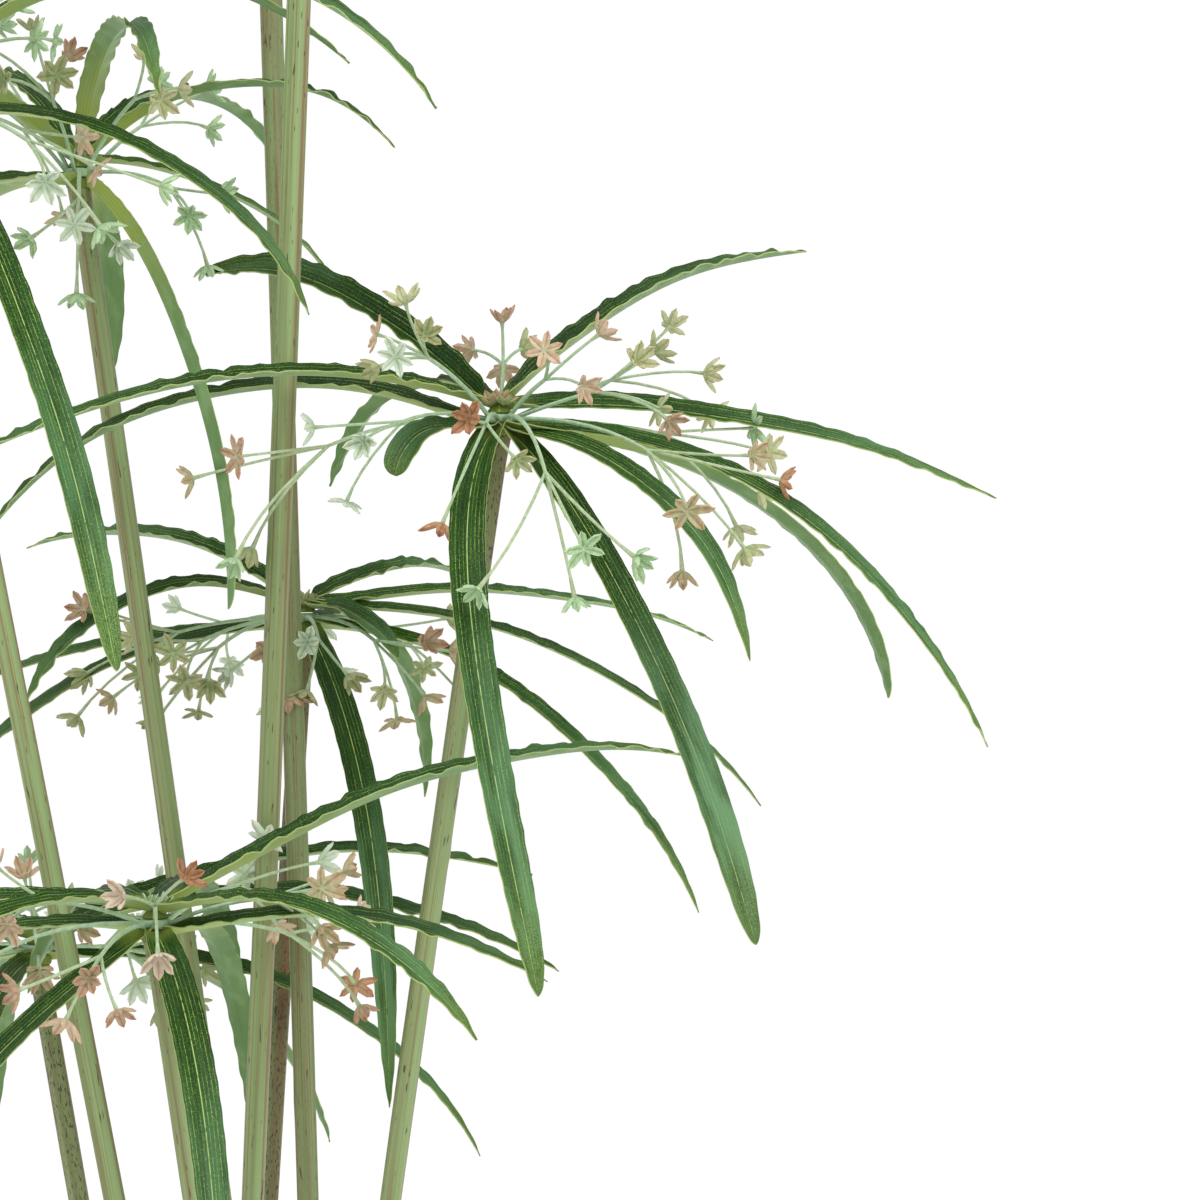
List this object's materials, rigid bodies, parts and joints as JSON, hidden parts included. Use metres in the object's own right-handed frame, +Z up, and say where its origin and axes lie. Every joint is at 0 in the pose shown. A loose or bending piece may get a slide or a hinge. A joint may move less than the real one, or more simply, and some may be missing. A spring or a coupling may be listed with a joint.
{
  "type": "potted artificial papyrus plant",
  "caption": "Potted artificial umbrella papyrus: tall leaning stems in a round pot, each with a flat crown of long drooping ribbon leaves and a spray of small flowers.",
  "frame": {"origin": "centre of the pot's flat underside", "axes": "+Z up along the pot's axis, +X to the right and -Y towards the viewer of the plant's front"},
  "size_m": [0.6785, 0.6321, 1.3606],
  "materials": {
    "pot": "matt charcoal moulded plastic",
    "soil": "cast weight with dark crumbled soil on top",
    "stem": "pale olive moulded plastic with reddish streaks",
    "leaf": "deep green satin leaf with yellow-green veins and a pale underside",
    "flower": "pale mint moulded plastic, tinted salmon at the flowers"
  },
  "bodies": {
    "root": {"pot": "pot", "soil": "soil", "stem_a": "stem", "leaves_a_lower": "leaf", "leaves_a_upper": "leaf", "spray_a": "flower", "stem_b": "stem", "leaves_b_lower": "leaf", "leaves_b_upper": "leaf", "spray_b": "flower", "stem_c": "stem", "leaves_c_lower": "leaf", "leaves_c_upper": "leaf", "spray_c": "flower", "stem_d": "stem", "leaves_d_lower": "leaf", "leaves_d_upper": "leaf", "spray_d": "flower", "stem_e": "stem", "leaves_e_lower": "leaf", "leaves_e_upper": "leaf", "spray_e": "flower", "stem_f": "stem", "leaves_f_lower": "leaf", "leaves_f_upper": "leaf", "spray_f": "flower", "stem_g": "stem", "leaves_g_lower": "leaf", "leaves_g_upper": "leaf", "spray_g": "flower", "stem_h": "stem", "leaves_h_lower": "leaf", "leaves_h_upper": "leaf", "spray_h": "flower"}
  },
  "joints": []
}
